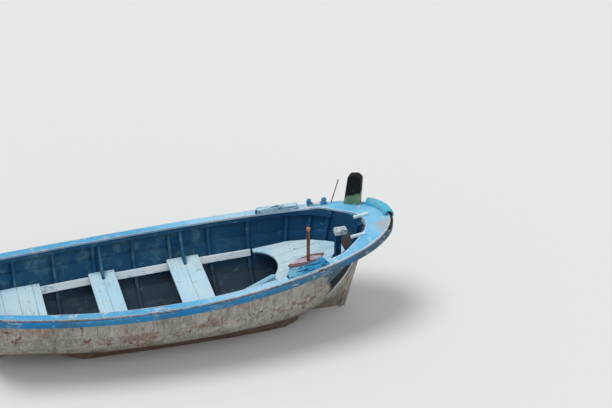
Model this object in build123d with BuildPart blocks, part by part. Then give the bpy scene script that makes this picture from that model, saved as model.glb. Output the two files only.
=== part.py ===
"""Old wooden rowing boat, clinker built, in millimetres, bow towards +X and port towards +Y."""

import os
from math import acos, cos, degrees, hypot, radians, sin, sqrt

from build123d import *

# Overall form. A place along the boat is s, the distance aft of the bow tip of the covering board.
LENGTH = 4050
STERN_POST_AFT = 45
FENDER_RADIUS = 50
FENDER_IN = 8
FENDER_OUT = FENDER_RADIUS - FENDER_IN
BOW_X = (LENGTH + STERN_POST_AFT - FENDER_OUT) / 2
SHEER_LOW_S = 2700
SHEER_LOW_Z = 730
SHEER_FORE_RADIUS = 14680
SHEER_AFT_RADIUS = 15200

# Outer edge of the covering board: arcs tangent to each other, as (radius, heading at the arc's end),
# to the widest place, and one more arc from there to the stern.
EDGE_ARCS = [(400, 45), (900, 70), (4200, 80), (5500, 90)]
QUARTER_RADIUS = 8140
WIDEST_S = sum(
    radius * (cos(radians(start)) - cos(radians(end)))
    for (radius, end), start in zip(EDGE_ARCS, [0] + [end for _, end in EDGE_ARCS])
)
EDGE_ARCS.append((QUARTER_RADIUS, degrees(acos((WIDEST_S - LENGTH) / QUARTER_RADIUS))))

# Scantlings.
SEAT_GAP = 0.3
SHEER_GAP = 0.6
PLANK = 12
PLANK_GAP = 1.0
LAP = 24
LAND_EASE = 1.2
CAP_THICK = 22
CAP_WIDTH = 92
PLANK_INSET = 16
RAIL_OUT = 25
RAIL_DEEP = 52
RAIL_INSET = 0.5
FRAME_DEEP = 32
FRAME_THICK = 28
KEEL_HALF = 25.5
KEEL_RISE = 24
FLOOR_RISE = 58
INWALE_DEEP = 46
INWALE_THICK = 20
RISER_DROP = 345
RISER_DEEP = 56
RISER_THICK = 20
STEM_FACE_HALF = 52
STEM_DEEP = 62
APRON_DEEP = 50
FRAME_GAP = 1.2
FLOOR_GAP = 0.8
BOW_EASE = 6
BOW_EASE_FROM, BOW_EASE_TO = 490, 1000

# Sections of the hull. top and foot are s at the sheer and at the keel, half is the planking's half
# breadth at the sheer (None follows the covering board), turn_y and turn_h place the bilge's control
# point as shares of the half breadth and of the height, keel_z is where the garboard meets the keel.
STATIONS = [
    # top, foot, half, turn_y, turn_h, keel_z
    (262, 476, 26, 1.00, 0.50, 96),
    (318, 530, 150, 0.46, 0.40, 87),
    (390, 600, 268, 0.52, 0.31, 78),
    (490, 700, 380, 0.60, 0.225, 70),
    (640, 820, 504, 0.67, 0.14, 62),
    (860, 980, None, 0.73, 0.07, 57),
]

# Sections from there to the transom, evenly spaced.
TRANSOM_IN = 15
BODY = [
    # rake, turn_y, turn_h, keel_z
    (30, 0.79, 0.025, 54),
    (0, 0.81, 0.01, 54),
    (0, 0.81, 0.00, 54),
    (0, 0.81, 0.00, 54),
    (0, 0.81, 0.01, 54),
    (0, 0.79, 0.03, 70),
    (0, 0.77, 0.07, 100),
    (0, 0.74, 0.12, 150),
]
BODY_FROM = STATIONS[-1][0]
BODY_STEP = (LENGTH - TRANSOM_IN - BODY_FROM) / len(BODY)
for number, (rake, turn_y, turn_h, keel_z) in enumerate(BODY):
    top = BODY_FROM + BODY_STEP * (number + 1)
    STATIONS.append((top, top + rake, None, turn_y, turn_h, keel_z))
FRAME_ROWS = range(3, len(STATIONS) - 1)
STRAKES = ["garboard", "second", "bilge", "fourth", "fifth", "sheer"]


def at(s):
    return BOW_X - s


def sheer(s):
    radius = SHEER_FORE_RADIUS if s < SHEER_LOW_S else SHEER_AFT_RADIUS
    return SHEER_LOW_Z + radius - sqrt(radius**2 - (s - SHEER_LOW_S) ** 2)


def edge_arcs(inset, last=len(EDGE_ARCS)):
    """Start, middle and end of each arc of the port edge, inset from the covering board's outer edge."""
    s, y, heading, arcs = inset, 0.0, 0.0, []
    for radius, end in EDGE_ARCS[:last]:
        r = radius - inset
        points = [
            (
                at(s + r * (cos(radians(heading)) - cos(radians(h)))),
                y + r * (sin(radians(h)) - sin(radians(heading))),
            )
            for h in (heading, (heading + end) / 2, end)
        ]
        arcs.append(points)
        s, y, heading = BOW_X - points[2][0], points[2][1], end
    return arcs


def half_beam(s, inset=0):
    """Half breadth of the covering board's outer edge, or of a line inset from it."""
    start_s, start_y, heading = inset, 0.0, 0.0
    for edge_radius, end in EDGE_ARCS:
        radius = edge_radius - inset
        end_s = start_s + radius * (cos(radians(heading)) - cos(radians(end)))
        if s <= end_s or end == EDGE_ARCS[-1][1]:
            c = cos(radians(heading)) - (s - start_s) / radius
            return start_y + radius * (sqrt(1 - c**2) - sin(radians(heading)))
        start_y += radius * (sin(radians(end)) - sin(radians(heading)))
        start_s, heading = end_s, end


def station_plane(row):
    top_s, foot_s, half, turn_y, turn_h, keel_z = row
    rise = sheer(top_s) - CAP_THICK - SHEER_GAP - keel_z
    run = foot_s - top_s
    return Plane(origin=(at(foot_s), 0, keel_z), x_dir=(0, 1, 0), z_dir=(rise, 0, -run)), hypot(rise, run)


def section(row):
    """Plank edges on the section's own plane, from the keel up, each with its outward normal."""
    top_s, foot_s, half, turn_y, turn_h, keel_z = row
    height = station_plane(row)[1]
    half = half if half is not None else half_beam(top_s) - PLANK_INSET
    keel = KEEL_HALF + 0.5
    turn = (max(half * turn_y, keel), height * turn_h)
    count = len(STRAKES)
    points = []
    for i in range(count + 1):
        t = i / count
        points.append(
            (
                keel * (1 - t) ** 2 + 2 * t * (1 - t) * turn[0] + t**2 * half,
                2 * t * (1 - t) * turn[1] + t**2 * height,
            )
        )
    normals = []
    for i in range(count + 1):
        a, b = points[max(i - 1, 0)], points[min(i + 1, count)]
        size = hypot(b[0] - a[0], b[1] - a[1])
        normals.append(((b[1] - a[1]) / size, -(b[0] - a[0]) / size))
    return points, normals


def out(point, normal, distance):
    return (point[0] + normal[0] * distance, point[1] + normal[1] * distance)


def strake_section(row, i):
    """Outline of one lapped plank: its land lies over the outside of the plank below."""
    points, normals = section(row)
    upper_in, upper_out = points[i + 1], out(points[i + 1], normals[i + 1], PLANK)
    if i == 0:
        return [points[0], upper_in, upper_out, out(points[0], normals[0], PLANK)]
    here = points[i]
    foot = out(points[i - 1], normals[i - 1], PLANK if i == 1 else 2 * PLANK + PLANK_GAP)
    head = out(here, normals[i], PLANK)
    size = hypot(head[0] - foot[0], head[1] - foot[1])
    along = ((head[0] - foot[0]) / size, (head[1] - foot[1]) / size)
    side = (along[1], -along[0])
    knuckle = out(here, normals[i], PLANK + PLANK_GAP)
    land = out((knuckle[0] - along[0] * LAP, knuckle[1] - along[1] * LAP), side, LAND_EASE)
    return [
        land,
        knuckle,
        upper_in,
        upper_out,
        out(here, normals[i], 2 * PLANK + PLANK_GAP),
        out(land, side, PLANK),
    ]


def side_line(z, offset):
    """Where each section passes a height, as (s, half breadth), offset outwards from the planks' inner edges."""
    line = []
    for row in STATIONS:
        height = station_plane(row)[1]
        rise = sheer(row[0]) - CAP_THICK - SHEER_GAP - row[5]
        level = (z - row[5]) * height / rise
        points, normals = section(row)
        curve = [out(p, n, offset) for p, n in zip(points, normals)]
        for a, b in zip(curve, curve[1:]):
            if a[1] <= level <= b[1]:
                k = (level - a[1]) / (b[1] - a[1])
                line.append((row[1] - level * (row[1] - row[0]) / height, a[0] + (b[0] - a[0]) * k))
                break
    return line


def half_at(s, z, offset):
    """Half breadth at a place and height, straight between the sections and so just inside the planks."""
    line = side_line(z, offset)
    for a, b in zip(line, line[1:]):
        if a[0] <= s <= b[0]:
            return a[1] + (b[1] - a[1]) * (s - a[0]) / (b[0] - a[0])


def half_plan(inset):
    """Outline of the port half of the plan inside the covering board's edge, to a square stern."""
    with BuildLine() as outline:
        arcs = edge_arcs(inset)
        for start, middle, end in arcs:
            ThreePointArc(start, middle, end)
        Line(arcs[-1][2], (arcs[-1][2][0], 0))
        Line((arcs[-1][2][0], 0), arcs[0][0])
    return outline.edges()


def sheer_band(top, bottom):
    """Side view of a band that follows the sheer, between two drops below the covering board's top."""
    fore = [(at(s), sheer(s) - top) for s in (-80, SHEER_LOW_S / 2, SHEER_LOW_S)]
    aft = [(at(s), sheer(s) - top) for s in (SHEER_LOW_S, (SHEER_LOW_S + LENGTH) / 2, LENGTH + 80)]
    fore_low = [(x, z + top - bottom) for x, z in fore]
    aft_low = [(x, z + top - bottom) for x, z in aft]
    with BuildLine() as outline:
        ThreePointArc(*fore)
        ThreePointArc(*aft)
        Line(aft[2], aft_low[2])
        ThreePointArc(*reversed(aft_low))
        ThreePointArc(*reversed(fore_low))
        Line(fore_low[0], fore[0])
    return outline.edges()


def save(solid, name):
    solid.label = name
    export_step(solid, f"parts/{name}.step")


os.makedirs("parts", exist_ok=True)
BIG = 2000

# Planking, port and starboard
for number, name in enumerate(STRAKES):
    with BuildPart() as strake:
        for row in STATIONS:
            with BuildSketch(station_plane(row)[0]):
                Polygon(*strake_section(row, number), align=None)
        loft()
        mirror(about=Plane.XZ)
    save(strake.part, f"strake_{number + 1}_{name}")



def inner_at(row, drop, inset):
    """Half breadth and height on a section's plane, at a drop below the covering board's top."""
    points, normals = section(row)
    line = [out(p, n, -inset) for p, n in zip(points, normals)]
    level = station_plane(row)[1] + CAP_THICK - drop
    for a, b in zip(line, line[1:]):
        if a[1] <= level <= b[1]:
            k = (level - a[1]) / (b[1] - a[1])
            return a[0] + (b[0] - a[0]) * k, level


def bow_ease(row):
    """Extra clearance where the sections change quickly."""
    return BOW_EASE * min(max((BOW_EASE_TO - row[0]) / (BOW_EASE_TO - BOW_EASE_FROM), 0), 1)


def frame_outline(row):
    """Port half of a frame and its flat floor timber on a section's plane."""
    points, normals = section(row)
    outer = [out(p, n, -FRAME_GAP) for p, n in zip(points, normals)][1:-1]
    inner = [out(p, n, -FRAME_GAP - FRAME_DEEP) for p, n in zip(points, normals)][1:-1]
    top = CAP_THICK + SHEER_GAP
    low = KEEL_RISE + FLOOR_GAP + 0.4 * bow_ease(row)
    floor = max(KEEL_RISE + FLOOR_RISE, inner[0][1] + 1)
    share = (floor - inner[0][1]) / (inner[1][1] - inner[0][1])
    return [
        (0, low),
        (KEEL_HALF + 4, low),
        *outer,
        inner_at(row, top, FRAME_GAP),
        inner_at(row, top, FRAME_GAP + FRAME_DEEP),
        *reversed(inner[1:]),
        (inner[0][0] + (inner[1][0] - inner[0][0]) * share, floor),
        (0, floor),
    ]


# Frames with their floor timbers, from the sections' planes towards the wider side, bevelled to the planks
with BuildPart() as frames:
    for index in FRAME_ROWS:
        row = STATIONS[index]
        wider = 1 if row[0] < WIDEST_S else -1
        other = STATIONS[index + wider]
        plane, height = station_plane(row)
        other_plane, other_height = station_plane(other)
        bevelled = []
        for (y, h), (other_y, other_h) in zip(frame_outline(row), frame_outline(other)):
            here = plane.from_local_coords(Vector(y, h, 0))
            there = plane.to_local_coords(other_plane.from_local_coords(Vector(other_y, other_h, 0)))
            k = FRAME_THICK / abs(there.Z)
            bevelled.append((y + (there.X - y) * k, h + (there.Y - h) * k))
        bevelled[0], bevelled[-1] = (0, bevelled[0][1]), (0, bevelled[-1][1])
        with BuildSketch(plane):
            Polygon(*frame_outline(row), align=None)
            mirror(about=Plane.YZ)
        with BuildSketch(plane.offset(-wider * FRAME_THICK)):
            Polygon(*bevelled, align=None)
            mirror(about=Plane.YZ)
        loft(ruled=True)
save(frames.part, "frames")

# Keel with its deadwood aft
stem_run = STATIONS[0][1] - STATIONS[0][0]
stem_rise = sheer(STATIONS[0][0]) - CAP_THICK - SHEER_GAP - STATIONS[0][5]
stem_slant = hypot(stem_run, stem_rise) / stem_rise


def rabbet(z):
    """Where the planks' fore ends meet the stem, as s at a height."""
    return STATIONS[0][1] - (z - STATIONS[0][5]) * stem_run / stem_rise


keel_fore = [rabbet(z) + (APRON_DEEP + SEAT_GAP) * stem_slant for z in (0, STATIONS[1][5] + KEEL_RISE)]
TRANSOM_THICK = 25
keel_aft = STATIONS[-1][1] + TRANSOM_THICK
keel_top = [(at(keel_fore[1]), STATIONS[1][5] + KEEL_RISE)]
keel_top += [(at(row[1]), row[5] + KEEL_RISE) for row in STATIONS[2:]]
with BuildPart() as keel:
    with BuildSketch(Plane.XZ):
        Polygon(
            (at(keel_fore[0]), 0),
            *keel_top,
            (at(keel_aft), STATIONS[-1][5] + KEEL_RISE),
            (at(keel_aft), 0),
            align=None,
        )
    extrude(amount=KEEL_HALF, both=True)
save(keel.part, "keel")

# Stem: an apron between the planks' ends and a cutwater before them
STEM_EDGE_HALF = 17
with BuildPart() as stem:
    foot = Plane(
        origin=(at(rabbet(0)), 0, 0), x_dir=(0, 1, 0), z_dir=(stem_run, 0, stem_rise)
    )
    with BuildSketch(foot):
        Polygon(
            (-KEEL_HALF, APRON_DEEP),
            (-KEEL_HALF, -PLANK_GAP),
            (-STEM_FACE_HALF, -PLANK_GAP),
            (-STEM_EDGE_HALF, -STEM_DEEP),
            (STEM_EDGE_HALF, -STEM_DEEP),
            (STEM_FACE_HALF, -PLANK_GAP),
            (KEEL_HALF, -PLANK_GAP),
            (KEEL_HALF, APRON_DEEP),
            align=None,
        )
    extrude(amount=BIG)
    with BuildSketch(Plane.XZ):
        make_face(sheer_band(CAP_THICK + SEAT_GAP, BIG))
    extrude(amount=BIG, both=True, mode=Mode.INTERSECT)
save(stem.part, "stem")

# Transom, inside the planks' after ends, with a bore for the drain plug
TRANSOM_DROP = 3
DRAIN_BORE = 11
DRAIN_Y = 90
DRAIN_UP = 75
row = STATIONS[-1]
plane, height = station_plane(row)
points, normals = section(row)
with BuildPart() as transom:
    with BuildSketch(plane):
        side = [out(p, n, -FRAME_GAP) for p, n in zip(points, normals)][1:-1]
        side.append(inner_at(row, CAP_THICK + TRANSOM_DROP, FRAME_GAP))
        Polygon(
            (0, KEEL_RISE + SEAT_GAP),
            (KEEL_HALF + 4, KEEL_RISE + SEAT_GAP),
            *side,
            (0, side[-1][1]),
            align=None,
        )
        mirror(about=Plane.YZ)
        with Locations((DRAIN_Y, DRAIN_UP)):
            Circle(DRAIN_BORE, mode=Mode.SUBTRACT)
    extrude(amount=TRANSOM_THICK)
save(transom.part, "transom")

# Sternpost, outside the transom and on the keel's end
POST_HALF = 22
POST_TOP = 610
with BuildPart() as sternpost:
    with BuildSketch(Plane.XZ):
        Polygon(
            (at(keel_aft) - SEAT_GAP, 0),
            (at(LENGTH + STERN_POST_AFT), 0),
            (at(LENGTH + STERN_POST_AFT - 12), POST_TOP),
            (at(row[0]) - SEAT_GAP, POST_TOP),
            (at(row[0]) - SEAT_GAP, row[5] + KEEL_RISE + SEAT_GAP),
            (at(keel_aft) - SEAT_GAP, row[5] + KEEL_RISE + SEAT_GAP),
            align=None,
        )
    extrude(amount=POST_HALF, both=True)
save(sternpost.part, "sternpost")

# Covering board: a broad nose, the sides and a strip over the transom
NOSE_AFT = 690
NOSE_GAP = 0.5
NOSE_INNER = [(247, 0), (282, 138), (354, 232), (525, 398), (602, 450)]
STERN_STRIP = 58
with BuildPart() as cap_nose:
    with BuildSketch(Plane.XY):
        make_face(half_plan(0))
        with BuildLine():
            inner_end = (at(NOSE_AFT), half_beam(NOSE_AFT, CAP_WIDTH))
            corner = [(at(s), y) for s, y in NOSE_INNER]
            ThreePointArc(corner[0], corner[1], corner[2])
            Line(corner[2], corner[3])
            ThreePointArc(corner[3], corner[4], inner_end)
            Line(inner_end, (at(NOSE_AFT), 0))
            Line((at(NOSE_AFT), 0), corner[0])
        make_face(mode=Mode.SUBTRACT)
        with Locations((at(NOSE_AFT + BIG), 0)):
            Rectangle(2 * BIG, 2 * BIG, mode=Mode.SUBTRACT)
        mirror(about=Plane.XZ)
    extrude(amount=BIG)
    with BuildSketch(Plane.XZ):
        make_face(sheer_band(0, CAP_THICK))
    extrude(amount=BIG, both=True, mode=Mode.INTERSECT)
save(cap_nose.part, "cap_nose")

stern_strip_fore = LENGTH - STERN_STRIP
for name, fore, aft in (("cap_sides", NOSE_AFT + NOSE_GAP, stern_strip_fore - NOSE_GAP), ("cap_stern", stern_strip_fore, LENGTH + 1)):
    with BuildPart() as cap:
        with BuildSketch(Plane.XY):
            make_face(half_plan(0))
            if name == "cap_sides":
                make_face(half_plan(CAP_WIDTH), mode=Mode.SUBTRACT)
            with Locations((at((fore + aft) / 2), 0)):
                Rectangle(aft - fore, 2 * BIG, mode=Mode.INTERSECT)
            mirror(about=Plane.XZ)
        extrude(amount=BIG)
        with BuildSketch(Plane.XZ):
            make_face(sheer_band(0, CAP_THICK))
        extrude(amount=BIG, both=True, mode=Mode.INTERSECT)
    save(cap.part, name)

# Rub rail, from one quarter round the bow to the other
with BuildPart() as rail:
    with BuildSketch(Plane.XY):
        make_face(half_plan(-RAIL_OUT))
        make_face(half_plan(RAIL_INSET), mode=Mode.SUBTRACT)
        with Locations((at(LENGTH - 2 * RAIL_INSET + BIG), 0)):
            Rectangle(2 * BIG, 2 * BIG, mode=Mode.SUBTRACT)
        mirror(about=Plane.XZ)
    extrude(amount=BIG)
    with BuildSketch(Plane.XZ):
        make_face(sheer_band(CAP_THICK + SEAT_GAP, CAP_THICK + RAIL_DEEP))
    extrude(amount=BIG, both=True, mode=Mode.INTERSECT)
save(rail.part, "rub_rail")

# Nose block under the covering board, between the rail and the planks
NOSE_BLOCK_AFT = 600
NOSE_BLOCK_GAP = 7
with BuildPart() as block:
    with BuildSketch(Plane.XY):
        make_face(half_plan(RAIL_INSET + SEAT_GAP))
        with BuildLine():
            hull = [(at(row[0]), section(row)[0][-1][0] + PLANK + NOSE_BLOCK_GAP) for row in STATIONS[:6]]
            first = (hull[0][0] + STEM_DEEP + NOSE_BLOCK_GAP, STEM_FACE_HALF + NOSE_BLOCK_GAP)
            Polyline((first[0], 0), first, (hull[0][0] + NOSE_BLOCK_GAP, first[1]))
            Polyline((hull[0][0] + NOSE_BLOCK_GAP, first[1]), *hull[1:], (hull[-1][0], 0), (first[0], 0))
        make_face(mode=Mode.SUBTRACT)
        with Locations((at(NOSE_BLOCK_AFT + BIG), 0)):
            Rectangle(2 * BIG, 2 * BIG, mode=Mode.SUBTRACT)
        mirror(about=Plane.XZ)
    extrude(amount=BIG)
    with BuildSketch(Plane.XZ):
        make_face(sheer_band(CAP_THICK + SEAT_GAP, CAP_THICK + RAIL_DEEP + 6))
    extrude(amount=BIG, both=True, mode=Mode.INTERSECT)
save(block.part, "nose_block")

# Inwales, inside the frames' heads
INWALE_GAP = 2.0
with BuildPart() as inwales:
    for row in STATIONS[3:]:
        inset = FRAME_GAP + FRAME_DEEP + INWALE_GAP + bow_ease(row)
        head = inner_at(row, CAP_THICK + SHEER_GAP, inset)
        foot = inner_at(row, CAP_THICK + INWALE_DEEP, inset)
        with BuildSketch(station_plane(row)[0]):
            Polygon(head, foot, (foot[0] - INWALE_THICK, foot[1]), (head[0] - INWALE_THICK, head[1]), align=None)
    loft()
    mirror(about=Plane.XZ)
    with Locations((at(STATIONS[-1][0] - TRANSOM_THICK - 1) - BIG, 0, 0)):
        Box(2 * BIG, 2 * BIG, 2 * BIG, mode=Mode.SUBTRACT)
save(inwales.part, "inwales")

# Risers that carry the thwarts
with BuildPart() as risers:
    for row in STATIONS[6:13]:
        inset = FRAME_GAP + FRAME_DEEP + INWALE_GAP + bow_ease(row)
        top = inner_at(row, RISER_DROP, inset)
        low = inner_at(row, RISER_DROP + RISER_DEEP, inset)
        with BuildSketch(station_plane(row)[0]):
            Polygon(top, low, (low[0] - RISER_THICK, low[1]), (top[0] - RISER_THICK, top[1]), align=None)
    loft()
    mirror(about=Plane.XZ)
save(risers.part, "risers")

# Thwarts and stern seat, tilted with the risers that they lie on
THWART_THICK = 28
THWART_GAP = 2.0
inner_face = -FRAME_GAP - FRAME_DEEP - THWART_GAP
thwart_table = [
    # name, fore s, aft s
    ("thwart_fore", 1790, 2110),
    ("thwart_aft", 2640, 2900),
    ("stern_seat", LENGTH - 660, LENGTH - 50),
]


def board_outline(fore, aft, height, lift=0):
    """Half outline of a cross board on a tilted plane: its edges follow the frames' inner faces."""
    places = [fore, *(row[0] for row in STATIONS if fore < row[0] < aft), aft]
    middle = (fore + aft) / 2
    port = [(middle - s, half_at(s, height(s) + lift, inner_face)) for s in places]
    return port + [(x, -y) for x, y in reversed(port)]


for name, fore, aft in thwart_table:
    middle = (fore + aft) / 2
    slope = (sheer(fore) - sheer(aft)) / (aft - fore)
    seat_z = (sheer(fore) + sheer(aft)) / 2 - RISER_DROP + SEAT_GAP

    def height(s):
        return seat_z + (middle - s) * slope

    seat_plane = Plane(origin=(at(middle), 0, seat_z), x_dir=(1, 0, slope), z_dir=(-slope, 0, 1))
    with BuildPart() as thwart:
        with BuildSketch(seat_plane):
            Polygon(*board_outline(fore, aft, height), align=None)
        with BuildSketch(seat_plane.offset(THWART_THICK)):
            Polygon(*board_outline(fore, aft, height, THWART_THICK), align=None)
        loft()
    save(thwart.part, name)

# Side bench to starboard, from the bow platform to the fore thwart, and the rail along its inner edge
BENCH_FORE = STATIONS[6][0] + 5
BENCH_AFT = thwart_table[0][1] - 4
BENCH_THICK = 22
BENCH_FORE_Y, BENCH_AFT_Y = 105, 352
BENCH_FORE_LIFT = 2.5
RAIL_LONG, RAIL_WIDE, RAIL_TALL = 640, 58, 38
RAIL_ROUND = 15
RAIL_OVER = 86
RAIL_EDGE = 31
bench_slope = (sheer(BENCH_FORE) + BENCH_FORE_LIFT - sheer(BENCH_AFT)) / (BENCH_AFT - BENCH_FORE)
bench_middle = (BENCH_FORE + BENCH_AFT) / 2
bench_z = (sheer(BENCH_FORE) + BENCH_FORE_LIFT + sheer(BENCH_AFT)) / 2 - RISER_DROP + SEAT_GAP


def bench_height(s):
    return bench_z + (bench_middle - s) * bench_slope


bench_plane = Plane(origin=(at(bench_middle), 0, bench_z), x_dir=(1, 0, bench_slope), z_dir=(-bench_slope, 0, 1))
with BuildPart() as bench:
    for lift in (0, BENCH_THICK):
        outline = board_outline(BENCH_FORE, BENCH_AFT, bench_height, lift)
        outer = outline[len(outline) // 2 :]
        with BuildSketch(bench_plane.offset(lift)):
            Polygon(*outer, (outer[-1][0], -BENCH_FORE_Y), (outer[0][0], -BENCH_AFT_Y), align=None)
    loft()
save(bench.part, "side_bench")

run, drift = BENCH_AFT - BENCH_FORE, BENCH_AFT_Y - BENCH_FORE_Y
bench_top = bench_plane.offset(BENCH_THICK + SEAT_GAP)
rail_along = bench_top.x_dir * run + bench_top.y_dir * drift
rail_across = bench_top.z_dir.cross(rail_along.normalized())
rail_fore = bench_top.from_local_coords(Vector(run / 2, -BENCH_FORE_Y, 0))
rail_middle = rail_fore + rail_along.normalized() * (RAIL_OVER - RAIL_LONG / 2) - rail_across * RAIL_EDGE
with BuildPart() as bench_rail:
    with BuildSketch(Plane(origin=rail_middle, x_dir=rail_along, z_dir=bench_top.z_dir)):
        SlotOverall(RAIL_LONG, RAIL_WIDE)
    extrude(amount=RAIL_TALL)
    fillet(bench_rail.faces().sort_by(Axis.Z)[-1].edges(), radius=RAIL_ROUND)
save(bench_rail.part, "bench_rail")

# Thwart knees, standing on the thwarts' ends under the inwales
KNEE_THICK = 24
KNEE_LEG = 150
KNEE_TOP = 34
KNEE_LIFT = 0.9
with BuildPart() as knees:
    for name, fore, aft in thwart_table[:2]:
        middle = (fore + aft) / 2
        low = (sheer(fore) + sheer(aft)) / 2 - RISER_DROP + THWART_THICK + SEAT_GAP + KNEE_LIFT
        high = sheer(middle) - CAP_THICK - INWALE_DEEP - 2
        face = inner_face - THWART_GAP
        y_low, y_high = half_at(middle, low, face), half_at(middle, high, face)
        for port in (1, -1):
            corner = (port * (y_low - KNEE_LEG), low)
            with BuildSketch(Plane(origin=(at(middle), 0, 0), x_dir=(0, 1, 0), z_dir=(1, 0, 0))):
                with BuildLine():
                    Polyline(corner, (port * y_low, low), (port * y_high, high), (port * (y_high - KNEE_TOP), high))
                    toe = (corner[0], low + KNEE_TOP * 0.7)
                    ThreePointArc(
                        (port * (y_high - KNEE_TOP), high),
                        (port * (y_low - 0.42 * KNEE_LEG), low + 0.36 * (high - low)),
                        toe,
                    )
                    Line(toe, corner)
                make_face()
            extrude(amount=KNEE_THICK / 2, both=True)
save(knees.part, "thwart_knees")

# Bottom boards on the floor timbers
BOARD_THICK = 14
BOARD_WIDTH = 106
BOARD_SPACE = 118
BOARDS = 4
boards_fore, boards_aft = STATIONS[6][0] - 10, STATIONS[10][0] + 10
boards_z = max(row[5] for row in STATIONS[6:11]) + KEEL_RISE + FLOOR_RISE + SEAT_GAP
with BuildPart() as boards:
    with BuildSketch(Plane.XY.offset(boards_z)):
        with Locations((at((boards_fore + boards_aft) / 2), 0)):
            with GridLocations(1, BOARD_SPACE, 1, BOARDS):
                Rectangle(boards_aft - boards_fore, BOARD_WIDTH)
    extrude(amount=BOARD_THICK)
save(boards.part, "bottom_boards")

# Bilge runners, down to the keel's level so that the boat stands upright ashore
RUNNER_FROM, RUNNER_TO = 0.32, 0.54
RUNNER_GAP = 1.5
RUNNER_TAPER = 170
RUNNER_END = 120
RUNNER_RISE = 90
RUNNER_CLEAR = 10
with BuildPart() as runners:
    rows = STATIONS[5:12]
    for row in rows:
        plane, height = station_plane(row)
        points, normals = section(row)
        a = out(points[1], normals[1], 2 * PLANK + PLANK_GAP + RUNNER_GAP)
        b = out(points[2], normals[2], PLANK + RUNNER_GAP)
        near, far = [(a[0] + (b[0] - a[0]) * k, a[1] + (b[1] - a[1]) * k) for k in (RUNNER_FROM, RUNNER_TO)]
        ground = -row[5] * height / (sheer(row[0]) - CAP_THICK - SHEER_GAP - row[5])
        with BuildSketch(plane):
            Polygon(near, far, (far[0], ground), (near[0], ground), align=None)
    loft()
    mirror(about=Plane.XZ)
    with BuildSketch(Plane.XZ):
        for end, way in ((at(rows[0][1]), 1), (at(rows[-1][1]), -1)):
            Polygon(
                (end - way * RUNNER_TAPER, -RUNNER_CLEAR),
                (end + way * RUNNER_END, -RUNNER_CLEAR),
                (end + way * RUNNER_END, RUNNER_RISE),
                align=None,
            )
    extrude(amount=BIG, both=True, mode=Mode.SUBTRACT)
save(runners.part, "bilge_runners")

# Bow platform, a horseshoe of boards that slopes with the risers' line, on risers of its own
PLATFORM_AT = 550
PLATFORM_Z = 600
PLATFORM_SLOPE = 0.207
PLATFORM_THICK = 22
PLATFORM_FORE = 440
PLATFORM_AFT = STATIONS[6][0] - 6
PLATFORM_APEX = 1085
PLATFORM_OPEN_RADIUS = 335
PLATFORM_OPEN_Y = 185
PLATFORM_RISER_DEEP = 40
PLATFORM_RISER_GAP = 0.6
PLATFORM_RISER_SHORT = 4
PLATFORM_RISER_EASE = 0.9
lengthen = hypot(1, PLATFORM_SLOPE)
platform_top = Plane(
    origin=(at(PLATFORM_AT), 0, PLATFORM_Z), x_dir=(1, 0, PLATFORM_SLOPE), z_dir=(-PLATFORM_SLOPE, 0, 1)
)


def on_platform(row, drop=0):
    """Where a section crosses the platform's top, or a level below it, as (s, height)."""
    s = row[0]
    slant = (row[1] - row[0]) / (sheer(row[0]) - CAP_THICK - SHEER_GAP - row[5])
    for _ in range(12):
        z = PLATFORM_Z - (s - PLATFORM_AT) * PLATFORM_SLOPE - drop
        s = row[1] - (z - row[5]) * slant
    return s, z


with BuildPart() as platform:
    for thick in (PLATFORM_THICK, 0):
        places = [on_platform(row, thick)[0] for row in STATIONS]
        places = [PLATFORM_FORE] + [s for s in places if PLATFORM_FORE < s < PLATFORM_AFT] + [PLATFORM_AFT]
        port = []
        for s in places:
            x = lengthen * (PLATFORM_AT - s) - thick * PLATFORM_SLOPE
            z = PLATFORM_Z + (x * PLATFORM_SLOPE - thick) / lengthen
            port.append((x, half_at(s, z, inner_face)))
        with BuildSketch(platform_top.offset(-thick)):
            Polygon(*port, *[(x, -y) for x, y in reversed(port)], align=None)
    loft()
    with BuildSketch(platform_top.offset(-PLATFORM_THICK - 1)):
        with Locations((lengthen * (PLATFORM_AT - PLATFORM_APEX) - PLATFORM_OPEN_RADIUS, PLATFORM_OPEN_Y)):
            Circle(PLATFORM_OPEN_RADIUS)
    extrude(amount=PLATFORM_THICK + 2, mode=Mode.SUBTRACT)
save(platform.part, "bow_platform")

with BuildPart() as bow_risers:
    for row in STATIONS[3:7]:
        height = station_plane(row)[1]
        rise = sheer(row[0]) - CAP_THICK - SHEER_GAP - row[5]
        z = on_platform(row, PLATFORM_THICK * lengthen + PLATFORM_RISER_GAP)[1]
        drop = (rise - (z - row[5])) * height / rise + CAP_THICK
        inset = FRAME_GAP + FRAME_DEEP + INWALE_GAP + PLATFORM_RISER_EASE + bow_ease(row)
        top = inner_at(row, drop, inset)
        low = inner_at(row, drop + PLATFORM_RISER_DEEP, inset)
        with BuildSketch(station_plane(row)[0]):
            Polygon(top, low, (low[0] - RISER_THICK, low[1]), (top[0] - RISER_THICK, top[1]), align=None)
    loft()
    mirror(about=Plane.XZ)
    with Locations((at(PLATFORM_AFT - PLATFORM_RISER_SHORT) - BIG, 0, 0)):
        Box(2 * BIG, 2 * BIG, 2 * BIG, mode=Mode.SUBTRACT)
save(bow_risers.part, "platform_risers")


SINK = 8


def seat_cut():
    """Space below the covering board's top, taken from what is shaped to stand on it."""
    with BuildPart() as below:
        with BuildSketch(Plane.XZ):
            make_face(sheer_band(-SEAT_GAP, CAP_THICK + RAIL_DEEP))
        extrude(amount=BIG, both=True)
    return below.part


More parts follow.
